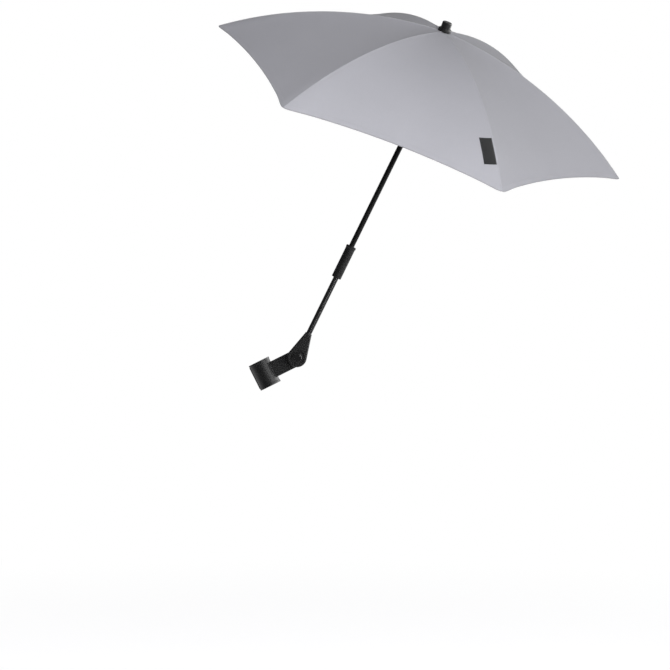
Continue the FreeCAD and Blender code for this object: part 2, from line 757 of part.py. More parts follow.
def cap():
    """The flanged end cap above the cloth."""
    flange_top = CROWN_HEIGHT + CAP_FLANGE_HEIGHT
    top = flange_top + CAP_BARREL_HEIGHT
    body = spun([
        (0, CROWN_HEIGHT),
        (CAP_FLANGE_RADIUS, CROWN_HEIGHT),
        (CAP_FLANGE_RADIUS, flange_top - CAP_ROUND),
        (CAP_FLANGE_RADIUS - CAP_ROUND, flange_top),
        (CAP_BARREL_RADIUS, flange_top),
        (CAP_BARREL_RADIUS, top - CAP_ROUND),
        (CAP_BARREL_RADIUS - CAP_ROUND, top),
        (0, top),
    ])
    return body.cut(upright(STICK_RADIUS, CROWN_HEIGHT, STICK_TOP))


def crown_washer():
    """The disc that the cap presses on the cloth's eye."""
    disc = upright(CROWN_WASHER_RADIUS, CLOTH_TOP, CROWN_HEIGHT)
    return disc.cut(upright(STICK_RADIUS, CLOTH_TOP, CROWN_HEIGHT))


def hub_pin(number):
    """A rib's hinge pin, across its slot."""
    half = SLOT_WIDTH / 2 + RIB_PIN_GRIP
    x, z = RIB_PIVOT
    pin = bar(RIB_PIN_RADIUS, (x, -half, z), (x, half, z))
    pin.rotate(Vector(), AXIS_Z, RIB_TURN + RIB_STEP * number)
    return pin


def hub():
    """The slotted disc that the ribs hinge in."""
    foot = RIB_PIVOT_HEIGHT - HUB_SKIRT
    body = upright(HUB_RADIUS, foot, HUB_TOP).cut(upright(STICK_RADIUS, foot, HUB_TOP))
    inner = HUB_PIVOT_RADIUS - RIB_EYE_RADIUS - SIDE_CLEARANCE
    roof = HUB_TOP - HUB_ROOF
    for number in range(RIB_COUNT):
        slot = block((inner, -SLOT_WIDTH / 2, foot), (2 * HUB_RADIUS, SLOT_WIDTH / 2, roof))
        slot.rotate(Vector(), AXIS_Z, RIB_TURN + RIB_STEP * number)
        body = body.cut(slot).cut(hub_pin(number))
    return body


# Ribs, clips, stretchers and runner, in a rib's frame

def arc_rod(arc, radius, first, last):
    """A round rod along a stretch of an arc, from share to share of its length."""
    r, z = arc.point(first)
    angle = arc.slope(first)
    start = Vector(r, 0, z)
    circle = Part.Circle(start, Vector(math.cos(angle), 0, -math.sin(angle)), radius)
    face = Part.Face(Part.Wire(circle.toShape()))
    centre = Vector(arc.centre[0], 0, arc.centre[1])
    sweep = math.degrees(2 * arc.half * (last - first))
    return face.revolve(centre, AXIS_Y, sweep)


def rib():
    """A rib: a bowed round rod with a flattened eye on its hub pin."""
    x, z = RIB_PIVOT
    rod = arc_rod(RIB_LINE, RIB_RADIUS, 0, 1)
    half = RIB_RADIUS - RIB_EYE_INSET
    eye = bar(RIB_EYE_RADIUS, (x, -half, z), (x, half, z))
    hole = bar(RIB_PIN_RADIUS + RUN_CLEARANCE, (x, -2 * RIB_RADIUS, z), (x, 2 * RIB_RADIUS, z))
    return fused(rod, eye).cut(hole)


def along_rib(share, distance):
    """A point on the rib's tangent, a distance outwards from a place on the rib."""
    r, z = RIB_LINE.point(share)
    angle = RIB_LINE.slope(share)
    return r + distance * math.cos(angle), 0, z - distance * math.sin(angle)


def rib_tip():
    """The round-ended cap on a rib's end, which the cloth's corner sits on."""
    end = along_rib(1, 0)
    body = fused(
        bar(RIB_TIP_RADIUS, along_rib(1, -RIB_TIP_LENGTH), end),
        Part.makeSphere(RIB_TIP_RADIUS, Vector(*end)),
    )
    bore = bar(RIB_RADIUS + SEAT_CLEARANCE, along_rib(1, -2 * RIB_TIP_LENGTH), end)
    return body.cut(bore)


def clip_pin():
    x, z = CLIP_PIVOT
    half = FORK_WIDTH / 2
    return bar(CLIP_PIN_RADIUS, (x, -half, z), (x, half, z))


def rib_clip():
    """The clip on a rib, with a lug and a pin for the stretcher."""
    x, z = CLIP_PIVOT
    half = LUG_THICKNESS / 2
    outer = RIB_RADIUS + CLIP_WALL
    ends = along_rib(CLIP_SHARE, -CLIP_LENGTH / 2), along_rib(CLIP_SHARE, CLIP_LENGTH / 2)
    root = along_rib(CLIP_SHARE, -LUG_RADIUS), along_rib(CLIP_SHARE, LUG_RADIUS)
    angle = RIB_LINE.slope(CLIP_SHARE)
    step = LUG_RADIUS * math.cos(angle), LUG_RADIUS * math.sin(angle)
    lug = prism(
        [
            (root[0][0], root[0][2]),
            (root[1][0], root[1][2]),
            (x + step[0], z - step[1]),
            (x - step[0], z + step[1]),
        ],
        -half, half,
    )
    body = fused(bar(outer, *ends), lug, bar(LUG_RADIUS, (x, -half, z), (x, half, z)))
    reach = along_rib(CLIP_SHARE, -CLIP_LENGTH), along_rib(CLIP_SHARE, CLIP_LENGTH)
    body = body.cut(bar(RIB_RADIUS + SEAT_CLEARANCE, *reach)).cut(clip_pin())
    return [body, clip_pin()]


def stretcher():
    """A flat strut: forked on the clip's lug, with an eye in the runner's slit."""
    half = FORK_WIDTH / 2
    strip = STRETCHER_THICKNESS / 2
    height = STRETCHER_HEIGHT / 2
    fork_end = LUG_RADIUS + FORK_DEPTH
    eye = STRETCHER_LENGTH
    body = fused(
        bar(LUG_RADIUS, (0, -half, 0), (0, half, 0)),
        block((0, -half, -LUG_RADIUS), (fork_end + FORK_WEB, half, LUG_RADIUS)),
        block((fork_end, -strip, -height), (eye, strip, height)),
        bar(STRETCHER_EYE_RADIUS, (eye, -strip, 0), (eye, strip, 0)),
    )
    slot = block(
        (-2 * LUG_RADIUS, -FORK_SLOT / 2, -2 * LUG_RADIUS),
        (fork_end, FORK_SLOT / 2, 2 * LUG_RADIUS),
    )
    pin_hole = bar(CLIP_PIN_RADIUS + RUN_CLEARANCE, (0, -half, 0), (0, half, 0))
    eye_hole = bar(CLIP_PIN_RADIUS, (eye, -strip, 0), (eye, strip, 0))
    body = body.cut(slot).cut(pin_hole).cut(eye_hole).removeSplitter()
    body.rotate(Vector(), AXIS_Y, 180 - STRETCHER_OPEN)
    body.translate(Vector(CLIP_PIVOT[0], 0, CLIP_PIVOT[1]))
    return body


def runner():
    """The sliding collar, with a slit for each stretcher's eye and a finger rim."""
    inner = RUNNER_PIVOT_RADIUS - STRETCHER_EYE_RADIUS - SIDE_CLEARANCE
    wall = min(STICK_RADIUS + RUNNER_WALL, inner)
    flange = RUNNER_PIVOT_RADIUS + RUNNER_FLANGE_RIM
    low, high = (RUNNER_OPEN + side * RUNNER_FLANGE_HEIGHT / 2 for side in (-1, 1))
    foot = RUNNER_OPEN - RUNNER_FOOT
    grip = wall + RUNNER_GRIP_RIM
    body = fused(
        upright(wall, foot, high),
        upright(flange, low, high),
        upright(grip, foot, foot + RUNNER_GRIP_HEIGHT),
    )
    for number in range(RIB_COUNT):
        slit = block((inner, -SLIT_WIDTH / 2, low), (2 * flange, SLIT_WIDTH / 2, high))
        slit.rotate(Vector(), AXIS_Z, RIB_TURN + RIB_STEP * number)
        body = body.cut(slit)
    return body.cut(upright(STICK_RADIUS + RUN_CLEARANCE, foot, high))


def runner_stop():
    """The ring on the stick that the runner comes down to when the canopy is closed."""
    top = RUNNER_CLOSED - RUNNER_FOOT - SIDE_CLEARANCE
    ring = upright(STICK_RADIUS + STOP_WALL, top - STOP_HEIGHT, top)
    return ring.cut(upright(STICK_RADIUS, top - STOP_HEIGHT, top))


def half_gore():
    """One half of a rib's share of the cloth, from the rib to the gore's middle."""
    rows = [
        [cloth_point(i / CLOTH_ROWS, j / CLOTH_COLUMNS) for j in range(CLOTH_COLUMNS + 1)]
        for i in range(CLOTH_ROWS + 1)
    ]
    surface = Part.BSplineSurface()
    surface.interpolate(rows)
    return surface.toShape().extrude(Vector(0, 0, -CLOTH))


def canopy_panel():
    """A rib's share of the cloth, to the middle of the gore on each side."""
    half = half_gore()
    whole = half.fuse(half.mirror(Vector(), AXIS_Y)).removeSplitter()
    trim = 2 * TIP_RADIUS
    for side in (-1, 1):
        wedge = block((-trim, -CLOTH_SEAM_GAP / 2, 0), (trim, trim, 2 * CROWN_HEIGHT))
        wedge.rotate(Vector(), AXIS_Z, RIB_STEP / 2)
        if side < 0:
            wedge = wedge.mirror(Vector(), AXIS_Y)
        whole = whole.cut(wedge)
    return whole.Solids[0]


def save(name, frame, pieces):
    """Place one node's solids in the part's frame and write them."""
    solids = pieces if isinstance(pieces, list) else [pieces]
    placed = [s.transformed(frame.toMatrix(), True) for s in solids]
    solids = [solid for shape in placed for solid in shape.Solids]
    shape = solids[0] if len(solids) == 1 else Part.makeCompound(solids)
    shape.exportStep(f"parts/{name}.step")


def main():
    os.makedirs("parts", exist_ok=True)
    clamp = clamp_front, clamp_back, clamp_liners, clamp_screws, clamp_inserts, pivot_nut
    arm = (
        pivot_bolt, spring_washer, friction_disc, pivot_cap, knuckle, rod_pin,
        lower_rod, sleeve, sleeve_pin, swivel_bush, swivel_screw,
    )
    fork = tilt_fork, fork_rivet, tilt_pin
    head = (
        tilt_tongue, tongue_rivet, canopy_stick, cap, crown_washer, hub, runner,
        runner_stop,
    )
    for frame, makers in (
        (CLAMP_FRAME, clamp), (ARM_FRAME, arm), (STEM_FRAME, [upper_stem]),
        (FORK_FRAME, fork), (HEAD_FRAME, head),
    ):
        for maker in makers:
            save(maker.__name__, frame, maker())
    save("hub_pins", HEAD_FRAME, [hub_pin(number) for number in range(RIB_COUNT)])
    repeated = {m.__name__: m() for m in (rib, rib_tip, rib_clip, stretcher, canopy_panel)}
    for number in range(RIB_COUNT):
        for name, piece in repeated.items():
            save(f"{name}_{number + 1}", rib_frame(number), piece)
    print("runner travel", round(RUNNER_TRAVEL, 2), "rib fold", round(RIB_FOLD, 2))
    print("stretcher fold", round(STRETCHER_FOLD, 2))


main()
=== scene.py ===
# %% [markdown]
# # A clip-on parasol
# The frame of the parasol comes from CAD: clamp, knuckle, rod, sleeve, stem, tilt joint,
# ribs and stretchers. This lesson dresses that frame. It gives every hard piece its finish,
# sews the canopy from cloth and lights the whole above a plain pale floor.

# %% Load the frame
import json
import math

import bmesh
import bpy
from mathutils import Matrix, Vector


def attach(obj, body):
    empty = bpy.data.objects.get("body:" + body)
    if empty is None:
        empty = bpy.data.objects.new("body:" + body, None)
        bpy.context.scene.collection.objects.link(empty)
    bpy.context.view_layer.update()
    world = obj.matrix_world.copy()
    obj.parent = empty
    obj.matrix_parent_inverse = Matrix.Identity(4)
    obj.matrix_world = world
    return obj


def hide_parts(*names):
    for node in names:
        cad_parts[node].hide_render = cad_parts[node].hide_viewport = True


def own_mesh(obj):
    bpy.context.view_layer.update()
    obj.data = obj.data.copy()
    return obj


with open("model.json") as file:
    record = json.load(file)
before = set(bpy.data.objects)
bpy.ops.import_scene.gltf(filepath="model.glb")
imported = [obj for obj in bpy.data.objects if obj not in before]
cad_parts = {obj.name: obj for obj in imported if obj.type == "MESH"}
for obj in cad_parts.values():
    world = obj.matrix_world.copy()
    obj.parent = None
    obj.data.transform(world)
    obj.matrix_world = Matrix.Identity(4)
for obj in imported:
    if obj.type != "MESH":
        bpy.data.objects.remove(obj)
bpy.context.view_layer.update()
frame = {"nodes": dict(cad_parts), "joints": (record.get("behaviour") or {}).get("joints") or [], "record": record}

# %% [markdown]
# ## Where the canopy is
# The canopy leans, and each rib has its own direction. The places could be typed in, but the
# joints already know them: the runner slides along the stick, and each rib folds about an
# axis that lies square to it. So each rib gets a frame of its own, with x outwards, y across
# and z up the stick, counted from the tilt hinge. One sector is worked out once in that frame.

# %% Rib frames from the joints
joints = {joint["name"]: joint for joint in frame["joints"]}
RIBS = range(1, 7)
tilt_hinge = Vector(joints["canopy_tilt"]["pos_m"])
up_stick = -Vector(joints["runner_slide"]["axis"]).normalized()


def rib_frame(rib):
    """The matrix from one rib's own frame to the whole object's."""
    across = Vector(joints[f"rib_fold_{rib}"]["axis"]).normalized()
    turned = Matrix((across.cross(up_stick), across, up_stick)).transposed()
    return Matrix.Translation(tilt_hinge) @ turned.to_4x4()


print("stick points along", [round(x, 3) for x in up_stick])

# %% [markdown]
# ## Writing finishes as sums
# A finish is a small web of shader nodes. Placed by hand they are slow to read, so two
# classes help. A Wire is one socket that can be added, taken away, multiplied and divided
# like a number, each time adding a Math node. A Finish owns a node tree and makes every
# other node with one method: its settings go in first, then the values or wires it takes.

# %% Wires and finishes
class Wire:
    """An output socket that takes part in arithmetic."""

    def __init__(self, finish, socket):
        self.finish, self.socket = finish, socket

    def math(self, operation, first, second=0.0):
        return self.finish.node("ShaderNodeMath", {"operation": operation}, {0: first, 1: second})

    def __add__(self, other):
        return self.math("ADD", self, other)

    def __radd__(self, other):
        return self.math("ADD", other, self)

    def __sub__(self, other):
        return self.math("SUBTRACT", self, other)

    def __rsub__(self, other):
        return self.math("SUBTRACT", other, self)

    def __mul__(self, other):
        return self.math("MULTIPLY", self, other)

    def __truediv__(self, other):
        return self.math("DIVIDE", self, other)

    def __abs__(self):
        return self.math("ABSOLUTE", self)

    def between(self, low, high):
        """0 at low, 1 at high, and a smooth rise from one to the other."""
        return self.finish.node("ShaderNodeMapRange", {"interpolation_type": "SMOOTHSTEP"},
                                {"Value": self, "From Min": low, "From Max": high})


class Finish:
    """The node tree of one material, or of the world."""

    def __init__(self, owner):
        owner.use_nodes = True
        self.owner, self.tree = owner, owner.node_tree
        self.tree.nodes.clear()

    def node(self, kind, settings=None, sockets=None, output=0):
        made = self.tree.nodes.new(kind)
        for name, value in (settings or {}).items():
            setattr(made, name, value)
        for name, value in (sockets or {}).items():
            if isinstance(value, Wire):
                self.tree.links.new(value.socket, made.inputs[name])
            else:
                made.inputs[name].default_value = value
        return Wire(self, made.outputs[output]) if len(made.outputs) else made

    def output(self, wire, name):
        """Another output of the node that a wire leaves."""
        return Wire(self, wire.socket.node.outputs[name])

    def split(self, vector):
        """The three parts of a vector."""
        first = self.node("ShaderNodeSeparateXYZ", sockets={0: vector})
        return first, self.output(first, "Y"), self.output(first, "Z")

    def place(self):
        """Where a point is in the object's own frame, in metres."""
        return self.node("ShaderNodeTexCoord", output="Object")

    def noise(self, place, scale, detail=2.0, distortion=0.0):
        """Cloudy noise; scale is how many waves go to the metre."""
        return self.node("ShaderNodeTexNoise", sockets={
            "Vector": place, "Scale": scale, "Detail": detail, "Distortion": distortion})

    def scratches(self, noise, thinness):
        """Thin lines, where a noise passes its middle."""
        return 1 - (abs(noise - 0.5) * thinness).between(0.0, 1.0)

    def blend(self, share, first, second):
        """A colour between two colours."""
        return self.node("ShaderNodeMix", {"data_type": "RGBA"},
                         {0: share, 6: first, 7: second}, 2)

    def mix(self, share, first, second):
        """A shader between two shaders."""
        return self.node("ShaderNodeMixShader", sockets={0: share, 1: first, 2: second})

    def stretch(self, place, turn, factors):
        """Turns the places about Y, then stretches them, for a pattern that follows a shaft."""
        turned = self.node("ShaderNodeMapping", sockets={
            "Vector": place, "Rotation": (0.0, math.radians(turn), 0.0)})
        return self.node("ShaderNodeVectorMath", {"operation": "MULTIPLY"}, {0: turned, 1: factors})

    def rounded(self, radius):
        """The normal as if every edge had a small radius."""
        return self.node("ShaderNodeBevel", {"samples": 4}, {"Radius": radius})

    def edges(self, rounded):
        """0 on open faces and 1 on edges, where the rounded normal leaves the face's own."""
        own = self.node("ShaderNodeNewGeometry", output="Normal")
        agree = self.node("ShaderNodeVectorMath", {"operation": "DOT_PRODUCT"},
                          {0: rounded, 1: own}, "Value")
        return (1 - agree).between(0.004, 0.09)

    def surface(self, colour, rough, height, relief, normal=None, fixed=None):
        """Ends the web in one Principled shader with a bump under it."""
        sockets = {"Height": height, "Distance": relief}
        if normal:
            sockets["Normal"] = normal
        bump = self.node("ShaderNodeBump", sockets=sockets)
        shader = self.node("ShaderNodeBsdfPrincipled", sockets={
            "Base Color": colour, "Roughness": rough, "Normal": bump, **(fixed or {})})
        self.node("ShaderNodeOutputMaterial", sockets={"Surface": shader})
        return self.owner


finishes = {}


def new_finish(slot):
    """An empty finish, kept under the slot that it is for."""
    finishes[slot] = bpy.data.materials.new(slot)
    return Finish(finishes[slot])


def grey(value, tint=1.05):
    """A near neutral colour, a little towards blue."""
    return (value, value, value * tint, 1.0)


print("helpers ready")

# %% [markdown]
# ## Moulded black plastic
# Clamp, knuckle, sleeve, tilt joint, hub, runner, rib clips and cap are black nylon from a
# mould whose steel was eroded to a fine grain. The grain could be modelled, but at a fraction
# of a millimetre a bump is enough. Handling rubs the edges smoother. The edges are also painted
# paler, partly as that wear and partly as a painted highlight along them. A few faint scuffs
# cross the flats. The sleeve has a deeper and duller grain, for a hand to grip.

# %% Black plastic finish
def moulded_black(slot, tone, rough, grain_depth, level):
    f = new_finish(slot)
    place = f.place()
    grain = f.noise(place, scale=1500, detail=3)
    cloud = f.noise(place, scale=42, detail=4)
    rounded = f.rounded(radius=0.0008)
    rubbed_and_highlit = f.edges(rounded) * f.noise(place, scale=160, detail=3).between(0.35, 0.65)
    scuff = f.scratches(f.noise(place, scale=70, detail=3, distortion=2.5), thinness=260)
    scuff = scuff * cloud.between(0.52, 0.66)
    colour = f.blend(cloud.between(0.3, 0.7), grey(tone * 0.82), grey(tone * 1.15))
    # Edges painted paler: partly handling wear, partly a painted highlight along each edge.
    colour = f.blend(rubbed_and_highlit * 0.8, colour, grey(tone * 6))
    colour = f.blend(scuff * 0.35, colour, grey(tone * 3.0))
    worn = rough + (cloud - 0.5) * 0.08 + (grain - 0.5) * 0.06 - rubbed_and_highlit * 0.12
    return f.surface(colour, worn, grain + scuff * 0.2, relief=grain_depth, normal=rounded,
                     fixed={"Specular IOR Level": level})


moulded_black("black_plastic", tone=0.0075, rough=0.48, grain_depth=0.000008, level=0.5)
moulded_black("grip_black", tone=0.0075, rough=0.6, grain_depth=0.00003, level=0.3)
print("black plastic")

# %% [markdown]
# ## Smooth black plastic
# The button over the pivot and the balls on the ribs' tips come from a polished mould. They
# are the same black, shine more and show hairlines instead of grain. A thin clear coat on
# the shader would give the shine, but plain low roughness with faint dust is what they have,
# and a denser plastic that mirrors more. Their rims are round in the mesh already.

# %% Gloss finish
def polished_black(slot, tone):
    f = new_finish(slot)
    place = f.place()
    ripple = f.noise(place, scale=260, detail=2)
    patches = f.noise(place, scale=90, detail=3).between(0.45, 0.7)
    dust = f.noise(place, scale=2600, detail=1).between(0.62, 0.74) * patches
    hairline = f.scratches(f.noise(place, scale=150, detail=2, distortion=4.0), thinness=400)
    colour = f.blend(dust * 0.5, grey(tone), grey(tone * 5))
    rough = 0.16 + dust * 0.3 + hairline * 0.12 + (ripple - 0.5) * 0.06
    return f.surface(colour, rough, ripple - hairline * 0.3, relief=0.00002,
                     fixed={"IOR": 1.8, "Specular IOR Level": 1.0})


polished_black("gloss_black", tone=0.009)
print("gloss black")

# %% [markdown]
# ## Lacquered rod, coated tubes and lacquered ribs
# The lower rod is drawn steel under a thin satin lacquer, so the fine lines of the drawing
# die show along it. The stem and the canopy's stick carry powder coat, which cures to a soft
# orange peel. The ribs and stretchers are dipped wire: thin, even, and worn at the eyes.
# Noise that is stretched along the shaft gives the lines, and plain noise gives the peel.

# %% Rod, tube and rib finishes
SHAFT_LEAN = 26.1
ALONG_SHAFT = (1.0, 1.0, 0.002)


def satin_lacquer(slot, tone):
    f = new_finish(slot)
    place = f.place()
    along = f.stretch(place, -SHAFT_LEAN, ALONG_SHAFT)
    lines = f.noise(along, scale=2600, detail=3)
    cloud = f.noise(place, scale=60, detail=3)
    nick = f.noise(place, scale=520, detail=2).between(0.72, 0.78) * cloud.between(0.5, 0.65)
    colour = f.blend(lines, grey(tone * 0.8), grey(tone * 1.25))
    colour = f.blend(nick * 0.6, colour, grey(0.16))
    rough = 0.3 + (lines - 0.5) * 0.18 + (cloud - 0.5) * 0.1
    return f.surface(colour, rough, lines - nick * 0.5, relief=0.00002,
                     normal=f.rounded(radius=0.0004), fixed={"Specular IOR Level": 0.4})


def powder_coat(slot, tone, rough, peel_scale, level):
    f = new_finish(slot)
    place = f.place()
    peel = f.noise(place, scale=peel_scale, detail=2)
    speck = f.noise(place, scale=2400, detail=2)
    cloud = f.noise(place, scale=30, detail=4)
    rounded = f.rounded(radius=0.0004)
    worn = f.edges(rounded) * f.noise(place, scale=240, detail=3).between(0.42, 0.62)
    colour = f.blend(cloud.between(0.3, 0.7), grey(tone * 0.85), grey(tone * 1.15))
    colour = f.blend(worn * 0.5, colour, grey(tone * 3.0))
    matt = rough + (speck - 0.5) * 0.14 + (cloud - 0.5) * 0.12
    return f.surface(colour, matt, peel + speck * 0.25, relief=0.00006, normal=rounded,
                     fixed={"Specular IOR Level": level})


satin_lacquer("satin_rod", tone=0.010)
powder_coat("black_tube", tone=0.004, rough=0.5, peel_scale=620, level=0.15)
powder_coat("rib_steel", tone=0.016, rough=0.36, peel_scale=900, level=0.5)
print("rod, tube and rib finishes")

# %% [markdown]
# ## Metal, rubber and bearing plastic
# Screws, pins, bolt and rivets are zinc plated, with fine drawn lines and a slightly uneven
# brightness. The inserts are brass, dulled by age. The liners are soft rubber with a bloom of
# dust. The friction disc, the bush, the crown washer and the runner's stop are grey bearing
# plastic. Most of these sit inside and show at a rim or a bore, so each still gets its grain.

# %% Small part finishes
ALONG_PIN = (1.0, 0.06, 1.0)


def plated(slot, bright, dull, rough):
    f = new_finish(slot)
    place = f.place()
    drawn = f.stretch(place, -SHAFT_LEAN, ALONG_PIN)
    lines = f.noise(drawn, scale=2200, detail=3)
    stain = f.noise(place, scale=130, detail=4).between(0.4, 0.7)
    rounded = f.rounded(radius=0.0003)
    colour = f.blend(stain, bright, dull)
    matt = rough + (lines - 0.5) * 0.2 + stain * 0.12
    return f.surface(colour, matt, lines, relief=0.00002, normal=rounded, fixed={"Metallic": 1.0})


def soft_rubber(slot, tone):
    f = new_finish(slot)
    place = f.place()
    grain = f.noise(place, scale=1300, detail=3)
    bloom = f.noise(place, scale=120, detail=4).between(0.45, 0.75)
    colour = f.blend(bloom * 0.6, grey(tone), grey(tone * 2.4))
    rough = 0.78 + (grain - 0.5) * 0.2
    return f.surface(colour, rough, grain, relief=0.00008, normal=f.rounded(radius=0.0005),
                     fixed={"Specular IOR Level": 0.25})


def bearing_plastic(slot, tone):
    f = new_finish(slot)
    place = f.place()
    grain = f.noise(place, scale=1900, detail=2)
    cloud = f.noise(place, scale=75, detail=3)
    colour = f.blend(cloud.between(0.3, 0.7), grey(tone * 0.85), grey(tone * 1.12))
    rough = 0.5 + (grain - 0.5) * 0.2
    return f.surface(colour, rough, grain, relief=0.00004, normal=f.rounded(radius=0.0004),
                     fixed={"Specular IOR Level": 0.4})


plated("steel", bright=(0.60, 0.60, 0.62, 1.0), dull=(0.42, 0.42, 0.43, 1.0), rough=0.3)
plated("brass", bright=(0.74, 0.56, 0.25, 1.0), dull=(0.48, 0.34, 0.15, 1.0), rough=0.34)
soft_rubber("rubber", tone=0.02)
bearing_plastic("grey_plastic", tone=0.16)
print("small part finishes")

# %% [markdown]
# ## Canopy cloth
# The cover is a plain woven polyester, light grey and a little blue. The threads are about
# half a millimetre apart, so the weave is drawn as two crossed waves on the cloth's own UV
# map, which is laid out in metres on the flat gore, with the grain down the middle of each.
# Slubs run along both threads and the weave lifts the normal. Painted shade darkens a thin
# line beside each seam's edge and along the hem's fold, and the hem's very edge is darker,
# partly grime and partly painted shade. Two attributes on the mesh say how far a point is
# from its seam and from the hem.

# %% Cloth finish
THREAD_PITCH = 0.00055
SEAM_EDGE, SEAM_SHADE = 0.0024, 0.0007
HEM_FOLD, FOLD_SHADE = 0.0115, 0.001
# How far in from the hem the cloth is darkened, by grime and by painted shade.
HEM_SOIL_AND_SHADE = (0.0002, 0.0021)
SLUB_DRAW = 0.025


def woven(f, tone, contrast, tint):
    """The colour of a plain weave, with its weave and its slubs."""
    flat = f.node("ShaderNodeUVMap", {"uv_map": "weave"})
    warp_side, weft_side, _ = f.split(flat)
    turn = 2 * math.pi / THREAD_PITCH
    warp, weft = (f.node("ShaderNodeMath", {"operation": "SINE"}, {0: side * turn})
                  for side in (warp_side, weft_side))
    weave = 0.5 + warp * weft * 0.5
    slubs = []
    for factors in ((1.0, SLUB_DRAW, 1.0), (SLUB_DRAW, 1.0, 1.0)):
        drawn = f.node("ShaderNodeVectorMath", {"operation": "MULTIPLY"}, {0: flat, 1: factors})
        slubs.append(f.noise(drawn, scale=1500, detail=2))
    slub = slubs[0] * 0.5 + slubs[1] * 0.5
    cloud = f.noise(f.place(), scale=9, detail=3)
    shade = 0.5 + (weave - 0.5) * contrast + (slub - 0.5) * contrast + (cloud - 0.5) * 0.25
    colour = f.blend(shade, grey(tone * 0.86, tint), grey(tone * 1.14, tint))
    return colour, weave, slub


def canopy_cloth(slot, tone):
    f = new_finish(slot)
    colour, weave, slub = woven(f, tone, contrast=0.5, tint=1.085)
    seam = f.node("ShaderNodeAttribute", {"attribute_name": "from_seam"}, output="Fac")
    hem = f.node("ShaderNodeAttribute", {"attribute_name": "from_hem"}, output="Fac")
    # Painted shade: a thin dark line beside the seam's edge.
    seam_shade_line = 1 - (abs(seam - SEAM_EDGE) / SEAM_SHADE).between(0.2, 1.0)
    # The hem's last two millimetres are darker: partly grime, partly painted shade at the edge.
    hem_grime_and_shade = 1 - hem.between(*HEM_SOIL_AND_SHADE)
    # Painted shade: a faint dark line along the hem's fold.
    fold_shade_line = 1 - (abs(hem - HEM_FOLD) / FOLD_SHADE).between(0.2, 1.0)
    colour = f.blend(seam_shade_line * 0.15, colour, grey(tone * 0.45))
    colour = f.blend(hem_grime_and_shade * 0.5, colour, grey(tone * 0.4))
    colour = f.blend(fold_shade_line * 0.07, colour, grey(tone * 0.5))
    rough = 0.86 + (weave - 0.5) * 0.1 + (slub - 0.5) * 0.1
    sheen = {"Specular IOR Level": 0.2, "Sheen Weight": 0.15, "Sheen Roughness": 0.5}
    return f.surface(colour, rough, weave + slub, relief=0.00005, fixed=sheen)


canopy_cloth("grey_cloth", tone=0.43)
print("cloth, threads", THREAD_PITCH * 1000, "mm apart")

# %% [markdown]
# ## Paint the frame
# Each CAD node already says which material slot of the record it belongs to. The node's mesh
# is left as it is, and only the material in its slot is exchanged for the finish above. The
# sleeve alone takes the duller grain.

# %% Finishes onto the nodes
slot_of = {part["node"]: part["material_slot"] for part in frame["record"]["subparts"]}
slot_of["sleeve"] = "grip_black"
for name, node in frame["nodes"].items():
    for holder in node.material_slots:
        holder.material = finishes[slot_of[name]]
print("painted", sum(len(node.material_slots) for node in frame["nodes"].values()), "slots")

# %% [markdown]
# ## The line of the cloth
# The ribs are springy wire. They bend to an arc as the cloth comes tight, so the cloth's line
# from the crown's eye to a tip is one arc of a circle. Between two ribs the tight cloth runs
# straight across, sinks a little and leaves a hem that bows inwards. Near the crown it creases
# over the rib, and towards the loose hem it rounds over it instead. All of this follows from
# how far a point is along the rib and how far across towards the middle of the gore.

# %% Arc and cloth surface
EYE = (0.007, 0.2082)
TIP = (0.395, 0.068)
ARC_RADIUS = 0.715
HEM_BOW = 0.015
SAG = 0.005
HALF_GORE = math.radians(30)
ROUNDING = 0.7
CROWN_REACH, HEM_REACH = 0.006, 0.046

run, drop = TIP[0] - EYE[0], EYE[1] - TIP[1]
half_turn = math.asin(math.hypot(run, drop) / 2 / ARC_RADIUS)
first_slope = math.atan2(drop, run) - half_turn
ARC_LENGTH = 2 * half_turn * ARC_RADIUS


def ease(value, low, high):
    """A smooth step from 0 at low to 1 at high."""
    share = min(max((value - low) / (high - low), 0.0), 1.0)
    return share * share * (3 - 2 * share)


def rib_line(share):
    """Radius and height on the arc, from the eye at 0 to the tip at 1."""
    slope = first_slope + 2 * half_turn * share
    return (EYE[0] + ARC_RADIUS * (math.sin(slope) - math.sin(first_slope)),
            EYE[1] + ARC_RADIUS * (math.cos(slope) - math.cos(first_slope)))


def half_width(along):
    """The cloth's width from the rib to the middle of the gore."""
    return rib_line(along)[0] * math.sin(HALF_GORE)


def rounding(along, aside):
    """The share of the crease that is rounded away beside a rib."""
    reach = CROWN_REACH + (HEM_REACH - CROWN_REACH) * ease(along, 0.2, 1.0)
    near = max(1 - abs(aside) / reach, 0.0)
    return ROUNDING * ease(along, 0.3, 0.9) * near ** 2


def cloth_point(along, aside):
    """A point of the tight cloth; aside is the distance from the rib, to either side."""
    across = min(abs(aside) / half_width(along), 1.0)
    pull = across * (2 - across)
    share = along * (1 - HEM_BOW / ARC_LENGTH * pull)
    radius, height = rib_line(share)
    middle = radius * math.cos(HALF_GORE)
    inwards = across * (radius - middle * math.cos(HALF_GORE))
    x = radius - inwards * (1 - rounding(along, aside))
    y = math.copysign(across * middle * math.sin(HALF_GORE), aside)
    return Vector((x, y, height - SAG * 4 * share * (1 - share) * pull))


def cloth_stance(along, aside, lift):
    """A frame on the cloth: x along the rib, y across, z off the surface by lift."""
    step = 0.001
    here = cloth_point(along, aside)
    ahead = cloth_point(along + step, aside) - cloth_point(along - step, aside)
    beside = cloth_point(along, aside + step) - cloth_point(along, aside - step)
    off = ahead.cross(beside).normalized()
    ahead.normalize()
    turned = Matrix((ahead, off.cross(ahead), off)).transposed().to_4x4()
    return Matrix.Translation(here + off * lift) @ turned


print("cloth line", round(ARC_LENGTH * 1000, 1), "mm, half gore at the hem",
      round(half_width(1.0) * 1000, 1), "mm")

